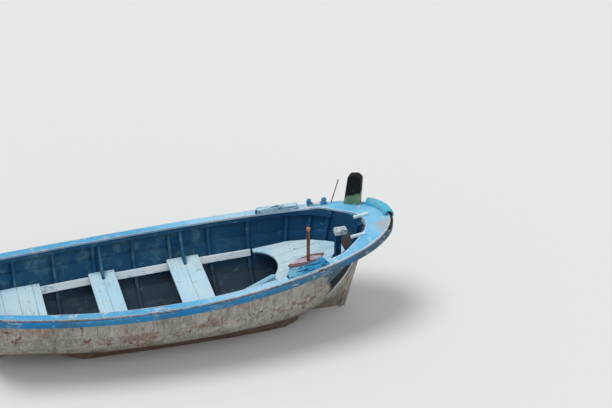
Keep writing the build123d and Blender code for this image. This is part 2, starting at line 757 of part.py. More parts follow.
def deck(s, y, lift=0, turn=0):
    """Plane on top of the covering board, tilted with the sheer and turned in plan."""
    slope = (SHEER_LOW_S - s) / sqrt(SHEER_FORE_RADIUS**2 - (SHEER_LOW_S - s) ** 2)
    level = Plane(origin=(at(s), y, sheer(s)), x_dir=(1, 0, slope), z_dir=(-slope, 0, 1))
    along = level.x_dir * cos(radians(turn)) + level.y_dir * sin(radians(turn))
    return Plane(origin=level.origin, x_dir=along, z_dir=level.z_dir).offset(lift)


# Towing post on the platform, with a small knee at its foot and a broad head
TOW_S, TOW_Y = 545, -100
TOW_HALF = 28
TOW_TOP = 885
TOW_KNEE_LONG, TOW_KNEE_TALL = 46, 84
TOW_KNEE_HALF = 18
TOW_HEAD_HALF = 40
TOW_HEAD_AFT, TOW_HEAD_FORE = 36, 88
TOW_HEAD_TOP = 945
TOW_HEAD_EASE = 12
TOW_FOOT = PLATFORM_Z - (TOW_S + TOW_HALF + TOW_KNEE_LONG - PLATFORM_AT) * PLATFORM_SLOPE
with BuildPart() as tow_post:
    with BuildSketch(Plane.XY.offset(TOW_FOOT)):
        with Locations((at(TOW_S), TOW_Y)):
            Rectangle(2 * TOW_HALF, 2 * TOW_HALF)
    extrude(amount=TOW_TOP - TOW_FOOT)
    with BuildSketch(Plane(origin=(at(TOW_S + TOW_HALF), TOW_Y, TOW_FOOT), x_dir=(-1, 0, 0), z_dir=(0, 1, 0))):
        Polygon((0, 0), (TOW_KNEE_LONG, 0), (0, TOW_KNEE_TALL), align=None)
    extrude(amount=TOW_KNEE_HALF, both=True)
    with BuildSketch(platform_top.offset(SEAT_GAP)):
        Rectangle(BIG, BIG)
    extrude(amount=-BIG, mode=Mode.SUBTRACT)
save(tow_post.part, "tow_post")
with BuildPart() as tow_head:
    with BuildSketch(Plane.XY.offset(TOW_TOP + SEAT_GAP)):
        with Locations((at(TOW_S) + (TOW_HEAD_FORE - TOW_HEAD_AFT) / 2, TOW_Y)):
            Rectangle(TOW_HEAD_FORE + TOW_HEAD_AFT, 2 * TOW_HEAD_HALF)
    extrude(amount=TOW_HEAD_TOP - TOW_TOP)
    chamfer(tow_head.edges().group_by(Axis.Z)[-1], length=TOW_HEAD_EASE)
save(tow_head.part, "tow_post_head")

# Two cleats on the nose, each reaching aft over its inner edge
CLEAT_LONG = 150
CLEAT_HALF = 15
CLEAT_THICK = 24
CLEATS = [
    # middle s, y
    (258, 76),
    (382, -243),
]
with BuildPart() as cleats:
    for cleat_s, cleat_y in CLEATS:
        with BuildSketch(deck(cleat_s, cleat_y, SEAT_GAP)):
            Rectangle(CLEAT_LONG, 2 * CLEAT_HALF)
        extrude(amount=CLEAT_THICK)
    chamfer(cleats.edges().filter_by(GeomType.LINE).group_by(Axis.X)[0], length=4)
    add(seat_cut(), mode=Mode.SUBTRACT)
save(cleats.part, "nose_cleats")

# Black timberhead on the port bow, standing on the covering board along its edge
HEAD_S, HEAD_IN = 262, 42
HEAD_LONG = 140
HEAD_THICK = 66
HEAD_TALL = 346
HEAD_LEAN = 78
HEAD_SHOULDER = 46
with BuildPart() as timberhead:
    foot = deck(HEAD_S, half_beam(HEAD_S) - HEAD_IN, 0, -36)
    side = Plane(origin=foot.origin, x_dir=foot.x_dir, z_dir=-foot.y_dir)
    half = HEAD_LONG / 2
    with BuildSketch(side):
        with BuildLine():
            Polyline((-half - 16, -SINK), (half + 14, -SINK), (half + HEAD_LEAN, HEAD_TALL - 60))
            ThreePointArc(
                (half + HEAD_LEAN, HEAD_TALL - 60), (half + HEAD_LEAN - 22, HEAD_TALL - 12), (HEAD_LEAN + 30, HEAD_TALL)
            )
            Line((HEAD_LEAN + 30, HEAD_TALL), (HEAD_LEAN - 40, HEAD_TALL - 6))
            ThreePointArc(
                (HEAD_LEAN - 40, HEAD_TALL - 6),
                (HEAD_LEAN - half + 10, HEAD_TALL - 22),
                (HEAD_LEAN - half - 4, HEAD_TALL - HEAD_SHOULDER),
            )
            Line((HEAD_LEAN - half - 4, HEAD_TALL - HEAD_SHOULDER), (-half - 16, -SINK))
        make_face()
    extrude(amount=HEAD_THICK / 2, both=True)
    add(seat_cut(), mode=Mode.SUBTRACT)
save(timberhead.part, "timberhead")

# Split hose round the nose, sprung over the covering board's edge, and the strip inside it
FENDER_WALL = 13
FENDER_SIDES = 20
FENDER_UP = 2
FENDER_PORT, FENDER_STBD = 46, 6
FENDER_CLEAR = 3
FENDER_SEAT = 1.2
STRIP_RADIUS = 11
STRIP_STBD = 38
STRIP_SIDES = 10
STRIP_CLEAR = 2
STRIP_LIFT = 0.5
nose = deck(0, 0)
nose_radius = EDGE_ARCS[0][0]


def nose_arc(heading):
    """Point of the nose's edge on its tilted plane, by the heading, port side positive."""
    return (-nose_radius * (1 - cos(radians(heading))), nose_radius * sin(radians(heading)))


def nose_section(heading):
    """Plane across the edge there, x inboard and y up."""
    point = nose.from_local_coords(Vector(*nose_arc(heading), 0))
    inboard = nose.x_dir * -cos(radians(heading)) + nose.y_dir * -sin(radians(heading))
    return Plane(origin=point, x_dir=inboard, z_dir=inboard.cross(nose.z_dir))


nose_axis = Axis(nose.from_local_coords(Vector(-nose_radius, 0, 0)), nose.z_dir)
with BuildPart() as fender:
    with BuildSketch(nose_section(-FENDER_STBD)):
        with Locations((FENDER_IN, FENDER_UP)):
            RegularPolygon(FENDER_RADIUS, FENDER_SIDES)
            RegularPolygon(FENDER_RADIUS - FENDER_WALL, FENDER_SIDES, mode=Mode.SUBTRACT)
        with Locations((-RAIL_OUT - FENDER_CLEAR + BIG / 2, FENDER_SEAT - BIG / 2)):
            Rectangle(BIG, BIG, mode=Mode.SUBTRACT)
    revolve(axis=nose_axis, revolution_arc=FENDER_PORT + FENDER_STBD)
save(fender.part, "nose_fender")
with BuildPart() as strip:
    with BuildSketch(nose_section(-STRIP_STBD)):
        with Locations((-STRIP_RADIUS - STRIP_CLEAR, -CAP_THICK + STRIP_RADIUS * cos(radians(180 / STRIP_SIDES)) + STRIP_LIFT)):
            RegularPolygon(STRIP_RADIUS, STRIP_SIDES)
    revolve(axis=nose_axis, revolution_arc=STRIP_STBD + 20)
save(strip.part, "fender_strip")

# Rowlock blocks, low to port and high to starboard, each with a bore for its thole pin
BLOCK_S = 975
BLOCK_LONG = 450
BLOCK_WIDE = 60
BLOCK_IN = 62
BLOCK_TURN = 11.6
PORT_BLOCK_TALL = 42
STBD_BLOCK_TALL = 96
PORT_BLOCK_SLOPE = 26
STBD_BLOCK_SLOPE = 66
THOLE_BORE = 16
THOLE_GAP = 0.5
blocks_table = [
    # side, height, length of each sloping end
    (1, PORT_BLOCK_TALL, PORT_BLOCK_SLOPE),
    (-1, STBD_BLOCK_TALL, STBD_BLOCK_SLOPE),
]


def block_seat(port, lift=0):
    return deck(BLOCK_S, port * (half_beam(BLOCK_S) - BLOCK_IN), lift, -port * BLOCK_TURN)


with BuildPart() as blocks:
    for port, tall, slope in blocks_table:
        seat = block_seat(port)
        side = Plane(origin=seat.origin, x_dir=seat.x_dir, z_dir=-seat.y_dir)
        half = BLOCK_LONG / 2
        with BuildSketch(side):
            Polygon((-half, -SINK), (half, -SINK), (half - slope, tall), (-half + slope, tall), align=None)
        extrude(amount=BLOCK_WIDE / 2, both=True)
        with BuildSketch(seat.offset(-SINK) if port > 0 else Plane(seat.origin).offset(-SINK)):
            Circle(THOLE_BORE)
        extrude(amount=tall + 2 * SINK, mode=Mode.SUBTRACT)
    add(seat_cut(), mode=Mode.SUBTRACT)
save(blocks.part, "rowlock_blocks")

# Worn lens-shaped pad on the starboard block, and its upright thole pin
PAD_LONG = 366
PAD_WIDE = 118
PAD_INBOARD = 22
PAD_THICK = 14
PAD_TIP = 14
pad_seat = block_seat(-1, STBD_BLOCK_TALL + SEAT_GAP)
pin_axis = Plane(block_seat(-1).origin)
with BuildPart() as pad:
    with BuildSketch(pad_seat):
        with BuildLine():
            half, bow = PAD_LONG / 2, PAD_WIDE / 2
            ThreePointArc((-half, -PAD_TIP + PAD_INBOARD), (0, -bow + PAD_INBOARD), (half, -PAD_TIP + PAD_INBOARD))
            ThreePointArc((half, -PAD_TIP + PAD_INBOARD), (half + PAD_TIP / 2, PAD_INBOARD), (half, PAD_TIP + PAD_INBOARD))
            ThreePointArc((half, PAD_TIP + PAD_INBOARD), (0, bow + PAD_INBOARD), (-half, PAD_TIP + PAD_INBOARD))
            Line((-half, PAD_TIP + PAD_INBOARD), (-half, -PAD_TIP + PAD_INBOARD))
        make_face()
    extrude(amount=PAD_THICK)
    with BuildSketch(pin_axis):
        Circle(THOLE_BORE)
    extrude(amount=STBD_BLOCK_TALL + PAD_THICK + 2 * SINK, mode=Mode.SUBTRACT)
save(pad.part, "rowlock_pad")
PIN_RADIUS = THOLE_BORE - THOLE_GAP
PIN_ABOVE = 325
PIN_HEAD_RADIUS = 21
PIN_HEAD_TALL = 32
PIN_FOOT = 3
pin_shaft = STBD_BLOCK_TALL + PAD_THICK + PIN_ABOVE - PIN_FOOT
with BuildPart() as pin:
    with BuildSketch(pin_axis.offset(PIN_FOOT)):
        Circle(PIN_RADIUS)
    extrude(amount=pin_shaft)
    with BuildSketch(pin_axis.offset(PIN_FOOT + pin_shaft)):
        Circle(PIN_RADIUS)
    with BuildSketch(pin_axis.offset(PIN_FOOT + pin_shaft + PIN_HEAD_TALL)):
        Circle(PIN_HEAD_RADIUS)
    loft()
    chamfer(pin.edges().group_by(Axis.Z)[-1], length=5)
save(pin.part, "thole_pin")

# Two-horned fairlead on the port bow
LEAD_S = 585
LEAD_LONG = 190
LEAD_WIDE = 44
LEAD_TALL = 62
LEAD_IN = 36
with BuildPart() as lead:
    seat = deck(LEAD_S, half_beam(LEAD_S) - LEAD_IN, 0, -18)
    side = Plane(origin=seat.origin, x_dir=seat.x_dir, z_dir=-seat.y_dir)
    half = LEAD_LONG / 2
    with BuildSketch(side):
        with BuildLine():
            Polyline((-half, -SINK), (half, -SINK), (half, 24))
            ThreePointArc((half, 24), (half + 2, LEAD_TALL - 12), (half - 16, LEAD_TALL))
            Line((half - 16, LEAD_TALL), (half - 44, LEAD_TALL - 8))
            ThreePointArc((half - 44, LEAD_TALL - 8), (half - 34, LEAD_TALL - 26), (half - 46, 20))
            Line((half - 46, 20), (-half + 46, 20))
            ThreePointArc((-half + 46, 20), (-half + 34, LEAD_TALL - 26), (-half + 44, LEAD_TALL - 8))
            Line((-half + 44, LEAD_TALL - 8), (-half + 16, LEAD_TALL))
            ThreePointArc((-half + 16, LEAD_TALL), (-half - 2, LEAD_TALL - 12), (-half, 24))
            Line((-half, 24), (-half, -SINK))
        make_face()
    extrude(amount=LEAD_WIDE / 2, both=True)
    add(seat_cut(), mode=Mode.SUBTRACT)
save(lead.part, "fairlead")

# Iron rod standing on the port bow
ROD_S = 450
ROD_IN = 30
ROD_RADIUS = 5
ROD_TALL = 262
ROD_LEAN = 25
with BuildPart() as rod:
    seat = deck(ROD_S, half_beam(ROD_S) - ROD_IN, SEAT_GAP)
    rise = ROD_RADIUS * sin(radians(ROD_LEAN))
    lean = Plane(origin=seat.origin + seat.z_dir * rise, x_dir=seat.x_dir, z_dir=seat.z_dir).rotated((0, ROD_LEAN, 0))
    with BuildSketch(lean):
        Circle(ROD_RADIUS)
    extrude(amount=ROD_TALL)
save(rod.part, "iron_rod")
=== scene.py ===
import math

import bmesh
import bpy
from mathutils import Matrix, Vector
from mathutils.bvhtree import BVHTree


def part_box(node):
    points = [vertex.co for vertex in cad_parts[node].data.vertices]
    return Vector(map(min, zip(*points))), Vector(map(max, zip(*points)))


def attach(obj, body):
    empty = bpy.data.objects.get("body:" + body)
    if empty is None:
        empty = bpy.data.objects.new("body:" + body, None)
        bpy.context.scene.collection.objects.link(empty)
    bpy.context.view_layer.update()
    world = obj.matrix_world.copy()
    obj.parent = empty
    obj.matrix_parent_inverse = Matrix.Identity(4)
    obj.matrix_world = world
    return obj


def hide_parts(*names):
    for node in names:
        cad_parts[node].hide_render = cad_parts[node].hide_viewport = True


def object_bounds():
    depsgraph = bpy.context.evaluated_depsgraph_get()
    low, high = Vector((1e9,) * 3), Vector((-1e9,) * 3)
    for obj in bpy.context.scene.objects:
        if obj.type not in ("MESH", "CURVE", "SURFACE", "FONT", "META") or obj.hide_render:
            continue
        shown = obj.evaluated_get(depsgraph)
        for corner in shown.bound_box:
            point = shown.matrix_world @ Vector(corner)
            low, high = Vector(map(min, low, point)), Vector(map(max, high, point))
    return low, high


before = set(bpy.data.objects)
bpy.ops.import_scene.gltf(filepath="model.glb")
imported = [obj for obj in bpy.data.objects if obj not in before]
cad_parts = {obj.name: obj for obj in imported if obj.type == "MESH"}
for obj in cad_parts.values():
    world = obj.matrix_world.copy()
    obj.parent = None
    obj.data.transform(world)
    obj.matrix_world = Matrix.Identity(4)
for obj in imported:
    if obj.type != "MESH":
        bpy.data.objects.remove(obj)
cad_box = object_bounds()

# Camera at the photograph's viewing angle
AZIMUTH = math.radians(-15.4)
ELEVATION = math.radians(30.0)
DISTANCE = 17.0
PIXELS_PER_METRE = 104.25
PICTURE_WIDE = 612.0
SENSOR = 36.0
FAR_CLIP = 200.0
TARGET = Vector((1.19, 0.0, 1.205))
camera_data = bpy.data.cameras.new("camera")
camera = bpy.data.objects.new("camera", camera_data)
bpy.context.scene.collection.objects.link(camera)
toward = Vector(
    (
        math.sin(AZIMUTH) * math.cos(ELEVATION),
        -math.cos(AZIMUTH) * math.cos(ELEVATION),
        math.sin(ELEVATION),
    )
)
camera.location = TARGET + toward * DISTANCE
camera.rotation_euler = toward.to_track_quat("Z", "Y").to_euler()
camera_data.sensor_width = SENSOR
camera_data.lens = SENSOR * DISTANCE * PIXELS_PER_METRE / PICTURE_WIDE
camera_data.clip_end = FAR_CLIP
bpy.context.scene.camera = camera


# Colours and node trees
def linear(value):
    """One display value from 0 to 255 as a linear one."""
    value /= 255.0
    return value / 12.92 if value <= 0.04045 else ((value + 0.055) / 1.055) ** 2.4


def srgb(color, dim=1.0):
    """Linear colour with alpha from three display values, dimmed if asked."""
    return tuple(linear(value * dim) for value in color) + (1.0,)


GLOSS = 0.3
BEVEL_SAMPLES = 8


class Nodes:
    """Small helper for building one material's node tree."""

    def __init__(self, name):
        self.material = bpy.data.materials.new(name)
        self.material.use_nodes = True
        self.tree = self.material.node_tree
        self.shader = self.tree.nodes["Principled BSDF"]
        self.coords = self.tree.nodes.new("ShaderNodeTexCoord").outputs["Object"]
        self.x, self.y, self.z = self.split(self.coords)

    def link(self, value, socket):
        if isinstance(value, bpy.types.NodeSocket):
            self.tree.links.new(value, socket)
        else:
            socket.default_value = value

    def split(self, vector):
        node = self.tree.nodes.new("ShaderNodeSeparateXYZ")
        self.link(vector, node.inputs[0])
        return tuple(node.outputs)

    def stretched(self, scale):
        """The object's coordinates, scaled in x, y and z."""
        node = self.tree.nodes.new("ShaderNodeMapping")
        self.link(self.coords, node.inputs["Vector"])
        node.inputs["Scale"].default_value = scale
        return node.outputs["Vector"]

    def noise(self, scale, detail, rough=0.55, warp=0.0, vector=None):
        node = self.tree.nodes.new("ShaderNodeTexNoise")
        self.link(vector or self.coords, node.inputs["Vector"])
        node.inputs["Scale"].default_value = scale
        node.inputs["Detail"].default_value = detail
        node.inputs["Roughness"].default_value = rough
        node.inputs["Distortion"].default_value = warp
        return node.outputs["Fac"]

    def steps(self, value, low, high):
        """0 below low, 1 above high, soft between; low may be above high."""
        node = self.tree.nodes.new("ShaderNodeMapRange")
        node.interpolation_type = "SMOOTHSTEP"
        self.link(value, node.inputs["Value"])
        node.inputs["From Min"].default_value = low
        node.inputs["From Max"].default_value = high
        return node.outputs["Result"]

    def math(self, kind, a, b=0.0):
        node = self.tree.nodes.new("ShaderNodeMath")
        node.operation = kind
        self.link(a, node.inputs[0])
        self.link(b, node.inputs[1])
        return node.outputs[0]

    def vector_math(self, kind, a, b=None):
        node = self.tree.nodes.new("ShaderNodeVectorMath")
        node.operation = kind
        self.link(a, node.inputs[0])
        if b is not None:
            self.link(b, node.inputs[1])
        return node.outputs

    def times(self, first, *others):
        """Product of all the values."""
        for other in others:
            first = self.math("MULTIPLY", first, other)
        return first

    def apart(self, a, b):
        """Distance between two values."""
        return self.math("ABSOLUTE", self.math("SUBTRACT", a, b))

    def blend(self, *shares):
        """Weighted sum of (weight, value) pairs."""
        total = 0.0
        for weight, value in shares:
            total = self.math("ADD", total, self.math("MULTIPLY", value, weight))
        return total

    def mix(self, share, a, b):
        node = self.tree.nodes.new("ShaderNodeMix")
        node.data_type = "RGBA"
        self.link(share, node.inputs[0])
        self.link(a, node.inputs[6])
        self.link(b, node.inputs[7])
        return node.outputs[2]

    def near(self, place, reach, ragged):
        """1 around a place and 0 beyond its reach in x, y and z, with a ragged rim."""
        offset = self.vector_math("SUBTRACT", self.coords, place)["Vector"]
        scaled = self.vector_math("DIVIDE", offset, reach)["Vector"]
        length = self.vector_math("LENGTH", scaled)["Value"]
        rim = self.blend((1.0, length), (ragged, self.noise(scale=45.0, detail=5.0, rough=0.6)))
        middle = 1.0 + ragged / 2
        return self.steps(rim, middle + 0.1, middle - 0.1)

    def edges(self, radius):
        """0 on flat places, rising on corners sharper than the radius."""
        rounded = self.tree.nodes.new("ShaderNodeBevel")
        rounded.samples = BEVEL_SAMPLES
        rounded.inputs["Radius"].default_value = radius
        plain = self.tree.nodes.new("ShaderNodeNewGeometry").outputs["Normal"]
        agreement = self.vector_math("DOT_PRODUCT", rounded.outputs[0], plain)["Value"]
        return self.math("SUBTRACT", 1.0, agreement)

    def seam(self, position, pitch, half, shift):
        """1 in thin lines every pitch along a position."""
        moved = self.math("ADD", position, shift)
        phase = self.math("PINGPONG", moved, pitch / 2)
        return self.steps(phase, half, half * 0.4)

    def bump(self, height, strength, distance, previous=None):
        node = self.tree.nodes.new("ShaderNodeBump")
        self.link(height, node.inputs["Height"])
        node.inputs["Strength"].default_value = strength
        node.inputs["Distance"].default_value = distance
        if previous is not None:
            self.link(previous, node.inputs["Normal"])
        return node.outputs["Normal"]

    def finish(self, color, rough, normal=None):
        self.link(color, self.shader.inputs["Base Color"])
        self.link(rough, self.shader.inputs["Roughness"])
        self.shader.inputs["Specular IOR Level"].default_value = GLOSS
        if normal is not None:
            self.link(normal, self.shader.inputs["Normal"])
        return self.material


# Grain as a scale in x, y and z
ALONG = (1.6, 26, 26)
ACROSS = (26, 1.6, 26)
EDGE_GRAIN = (3.0, 9, 60)
RAIL_GRAIN = (1.8, 9, 60)
BLOCK_GRAIN = (2.4, 20, 20)
UPRIGHT = (9, 9, 1.7)
EVEN = (12, 12, 12)
TIMBER_GRAIN = (1.2, 30, 30)
PAD_GRAIN = (1.6, 40, 40)
HEAD_GRAIN = (30, 30, 1.6)
RUNS = (14, 14, 0.9)

SEAM = (34, 34, 38)
GREY_WOOD = (178, 172, 170)
PINK_WOOD = (204, 190, 186)
ROUGH_CRACK = (56, 48, 46)
SEAM_SHARE = 0.85
SEAM_DEPTH = 0.003
CHIP_DEPTH = 0.0012
GRAIN_DEPTH = 0.0016
CRACK_FROM, CRACK_FULL = 0.70, 0.74
WOOD_SHADE = 0.55
PAINT_ROUGH = 0.62
HULL_ROUGH = 0.7


class Paint:
    """Old paint on wood: faded in clouds, dirty in streaks, worn through to the grain."""

    def __init__(self, name, grain=ALONG):
        self.n = n = Nodes(name)
        self.grain = grain
        self.clouds = n.noise(scale=1.7, detail=3.0, rough=0.5, warp=0.4)
        self.patches = n.noise(scale=7.5, detail=7.0, rough=0.62, warp=0.7)
        self.specks = n.noise(scale=60.0, detail=4.0, rough=0.6)
        self.lines = n.noise(scale=2.2, detail=6.0, rough=0.65, warp=0.9, vector=n.stretched(grain))

    def coat(self, paint, faded):
        n = self.n
        cloudy = n.steps(n.blend((1.0, self.clouds), (0.4, self.patches)), 0.55, 0.82)
        self.color = n.mix(cloudy, srgb(paint), srgb(faded))

    def over(self, share, color):
        """Another colour over part of the coat."""
        self.color = self.n.mix(share, self.color, srgb(color))

    def uneven(self, value, weight):
        """A value made ragged by the patches."""
        n = self.n
        return n.blend((1.0, value), (weight, n.math("SUBTRACT", self.patches, 0.5)))

    def dirt(self, share, color, low=0.52, high=0.86):
        n = self.n
        cloud = n.noise(scale=3.4, detail=5.0, rough=0.6)
        grime = n.blend((0.55, self.lines), (0.6, cloud))
        self.over(n.times(n.steps(grime, low, high), share), color)

    def wear(self, through, bare, under, wood, edge=0.0, radius=0.006):
        """Chips down to an older coat, then to bare wood, more of both along the edges."""
        n = self.n
        worn = n.blend((0.6, self.patches), (0.4, self.lines), (0.1, self.specks))
        if edge:
            worn = n.blend((1.0, worn), (edge, n.edges(radius)))
        first = n.steps(worn, through + 0.055, through + 0.075)
        second = n.steps(worn, bare + 0.05, bare + 0.07)
        timber = n.mix(self.lines, srgb(wood), srgb(wood, WOOD_SHADE))
        self.color = n.mix(first, self.color, srgb(under))
        self.color = n.mix(second, self.color, timber)
        self.relief = n.blend((-0.4, first), (-0.5, second))

    def cracks(self, share=0.7, color=ROUGH_CRACK):
        n = self.n
        fine = n.stretched((self.grain[0] * 0.8, self.grain[1] * 4, self.grain[2] * 4))
        pattern = n.noise(scale=3.0, detail=3.0, rough=0.5, warp=0.3, vector=fine)
        self.gaps = n.steps(pattern, CRACK_FROM, CRACK_FULL)
        self.over(n.times(self.gaps, share), color)

    def done(self, rough=PAINT_ROUGH, seams=None):
        n = self.n
        if seams is not None:
            self.over(n.times(seams, SEAM_SHARE), SEAM)
        normal = n.bump(self.relief, strength=0.7, distance=CHIP_DEPTH)
        grain = n.blend((1.0, self.lines), (-0.8, self.gaps))
        normal = n.bump(grain, strength=0.45, distance=GRAIN_DEPTH, previous=normal)
        if seams is not None:
            normal = n.bump(seams, strength=1.0, distance=-SEAM_DEPTH, previous=normal)
        return n.finish(self.color, n.blend((0.25, self.patches), (1.0, rough)), normal)


CAP_MIDDLE_X = 0.75
NOSE_BARE_SIZE = (0.11, 0.14, 0.2)
NOSE_BARE = (cad_box[1][0] - 0.13, -0.20, 0.96)
SCARF_PITCH, SCARF_HALF, SCARF_SHIFT = 1.55, 0.0016, -0.35
SCARF_SLANT = 1.4


def cap_paint():
    """Light blue, palest amidships and stronger aft, chalky at the bow, bare wood at the nose."""
    p = Paint("cap_paint")
    n = p.n
    p.coat(paint=(104, 184, 226), faded=(136, 202, 234))
    amidships = n.steps(n.apart(n.x, CAP_MIDDLE_X), 0.75, 0.1)
    p.over(n.times(amidships, 0.55), (190, 216, 232))
    aft = n.steps(n.x, 0.3, -0.5)
    p.over(n.times(aft, 0.85), (74, 162, 208))
    p.dirt(0.3, (104, 124, 140))
    p.wear(through=0.57, bare=0.615, under=(206, 214, 222), wood=(150, 126, 120), edge=0.5, radius=0.007)
    rubbed = n.steps(p.uneven(n.edges(0.022), 0.2), 0.02, 0.07)
    p.over(n.times(rubbed, 0.85), PINK_WOOD)
    chalked = n.steps(p.uneven(n.edges(0.034), 0.10), 0.02, 0.05)
    off_axis = n.math("ABSOLUTE", n.y)
    bow_corner = n.times(n.steps(n.x, 1.0, 1.3), n.steps(off_axis, 0.1, 0.2))
    p.over(n.times(chalked, bow_corner, 0.8), (214, 224, 234))
    bare_nose = n.near(NOSE_BARE, NOSE_BARE_SIZE, ragged=0.9)
    streaks = n.steps(p.lines, 0.42, 0.56)
    p.over(n.times(bare_nose, streaks), GREY_WOOD)
    p.cracks()
    slanted = n.math("ADD", n.x, n.times(off_axis, SCARF_SLANT))
    scarfs = n.seam(slanted, SCARF_PITCH, SCARF_HALF, SCARF_SHIFT)
    behind_nose = n.steps(n.x, 1.30, 1.25)
    return p.done(seams=n.times(scarfs, behind_nose))


def cap_edge_paint():
    """The cap's outer edge: chalky at the bow, rubbed down to brown wood amidships."""
    p = Paint("cap_edge_paint", EDGE_GRAIN)
    n = p.n
    p.coat(paint=(160, 180, 194), faded=(186, 188, 192))
    bow = n.steps(n.x, 1.05, 1.30)
    p.over(n.times(bow, 0.8), (220, 224, 230))
    aft = n.times(n.steps(n.x, 1.10, 0.70), n.steps(p.patches, 0.38, 0.50))
    p.over(n.times(aft, 0.8), (84, 84, 80))
    p.dirt(0.5, (126, 98, 88), low=0.50, high=0.68)
    p.wear(through=0.50, bare=0.545, under=(208, 196, 192), wood=(128, 92, 78), edge=0.5)
    p.cracks(0.8)
    return p.done()


def rail_paint():
    """Strong blue on the rubbing rail, grey and worn toward the bow."""
    p = Paint("rail_paint", RAIL_GRAIN)
    n = p.n
    p.coat(paint=(12, 116, 178), faded=(44, 128, 176))
    grey = n.times(n.steps(n.x, 0.8, 1.4), n.steps(p.patches, 0.36, 0.50))
    p.over(grey, (64, 94, 112))
    p.dirt(0.6, (58, 74, 82), low=0.50, high=0.72)
    p.wear(through=0.56, bare=0.60, under=(150, 178, 194), wood=(116, 92, 84), edge=0.7)
    p.cracks(0.75)
    return p.done()


STEM_RUB = (1.64, 0.10, 0.63)
STEM_RUB_SIZE = (0.09, 0.09, 0.11)


def inside_paint():
    """Deep navy in the bow, lighter mid blue aft, dark low down, a brown rub by the stem."""
    p = Paint("inside_paint")
    n = p.n
    p.coat(paint=(0, 62, 102), faded=(4, 72, 112))
    lighter_aft = n.steps(n.x, 1.35, 0.3)
    p.over(n.times(lighter_aft, 0.8), (24, 88, 128))
    bleached = n.times(n.steps(n.x, 1.1, -0.2), n.steps(p.patches, 0.45, 0.66))
    p.over(bleached, (70, 116, 138))
    p.dirt(0.5, (18, 32, 42))
    bilge = n.steps(n.z, 0.42, 0.22)
    p.over(n.times(bilge, 0.75), (40, 42, 42))
    p.wear(through=0.60, bare=0.66, under=(78, 126, 156), wood=(84, 72, 66), edge=0.5)
    rub = n.near(STEM_RUB, STEM_RUB_SIZE, ragged=2.2)
    p.over(n.times(rub, n.steps(p.lines, 0.36, 0.50)), (98, 80, 68))
    p.cracks(color=(14, 26, 36))
    return p.done()


def pale_boards(name, seams_along, grain=ALONG):
    """Pale blue boards, bleached on top, with a dark gap between the planks."""
    p = Paint(name, grain)
    p.coat(paint=(178, 216, 234), faded=(196, 222, 232))
    p.dirt(0.4, (120, 132, 134))
    p.wear(through=0.57, bare=0.625, under=(158, 190, 206), wood=(124, 108, 96), edge=0.7)
    p.cracks()
    return p.done(seams=seams_along(p.n))


def light_paint():
    """Near-white blue of the risers and cleats."""
    p = Paint("light_paint")
    p.coat(paint=(204, 226, 236), faded=(222, 234, 238))
    p.dirt(0.4, (112, 112, 108))
    p.wear(through=0.57, bare=0.63, under=(138, 184, 210), wood=(112, 92, 80), edge=0.8)
    p.cracks()
    return p.done()


def bench_rail_paint():
    """Soft grey-blue of the bench's rail."""
    p = Paint("bench_rail_paint")
    p.coat(paint=(128, 182, 206), faded=(158, 200, 216))
    p.dirt(0.4, (96, 112, 116))
    p.wear(through=0.56, bare=0.62, under=(178, 204, 214), wood=(116, 98, 86), edge=0.9)
    p.cracks()
    return p.done()


# Dark paint with painted shadow on the planks under the nose, and a pale line along their lowest lap
# that is a painted highlight
SHEER_GREY_AND_SHADE = (66, 92, 108)
UNDER_NOSE_PAINT_AND_SHADOW = (6, 16, 28)
LAP_HIGHLIGHT = (204, 214, 216)
LAP_RISE = 0.6
LAP_HIGHLIGHT_GONE, LAP_HIGHLIGHT_FULL = -0.474, -0.488


def hull_paint(name="hull_paint", bow_paint_and_shade=None, bow_start=0.0, pale_lap_highlight=False):
    """Rubbed grey and pink coats on the planks, run down in streaks, wood showing; toward the bow a
    colour that is partly paint and partly painted shade under the nose, and a painted highlight along a
    lap.
    """
    p = Paint(name, UPRIGHT)
    n = p.n
    p.coat(paint=(140, 138, 130), faded=(164, 162, 154))
    pink = n.steps(n.noise(scale=3.0, detail=5.0, rough=0.6, warp=0.5), 0.54, 0.62)
    p.over(pink, (150, 130, 120))
    runs = n.noise(scale=3.2, detail=6.0, rough=0.62, warp=0.3, vector=n.stretched(RUNS))
    p.over(n.times(n.steps(runs, 0.54, 0.66), 0.6), (196, 196, 190))
    p.over(n.times(n.steps(runs, 0.45, 0.33), 0.65), (88, 76, 66))
    p.dirt(0.55, (82, 76, 68), low=0.50, high=0.76)
    low = n.steps(n.z, 0.30, 0.08)
    p.over(n.times(low, 0.55), (86, 76, 66))
    p.wear(through=0.55, bare=0.60, under=(132, 112, 102), wood=(96, 78, 68))
    rubbed = n.steps(n.edges(0.014), 0.03, 0.14)
    p.over(n.times(rubbed, 0.8), (200, 198, 192))
    # Toward the bow the planks are darkened: partly dark paint, partly painted shadow of the overhanging
    # nose
    if bow_paint_and_shade:
        bow = n.steps(p.uneven(n.x, 0.25), bow_start, bow_start + 0.06)
        p.over(bow, bow_paint_and_shade)
        if pale_lap_highlight:
            # Painted highlight: a pale line along the sunlit edge of the lowest lap under the nose
            over_lap = n.blend((1.0, n.z), (-LAP_RISE, n.x))
            rim = n.steps(over_lap, LAP_HIGHLIGHT_GONE, LAP_HIGHLIGHT_FULL)
            p.over(n.times(rim, bow, 0.95), LAP_HIGHLIGHT)
    p.cracks()
    return p.done(HULL_ROUGH)


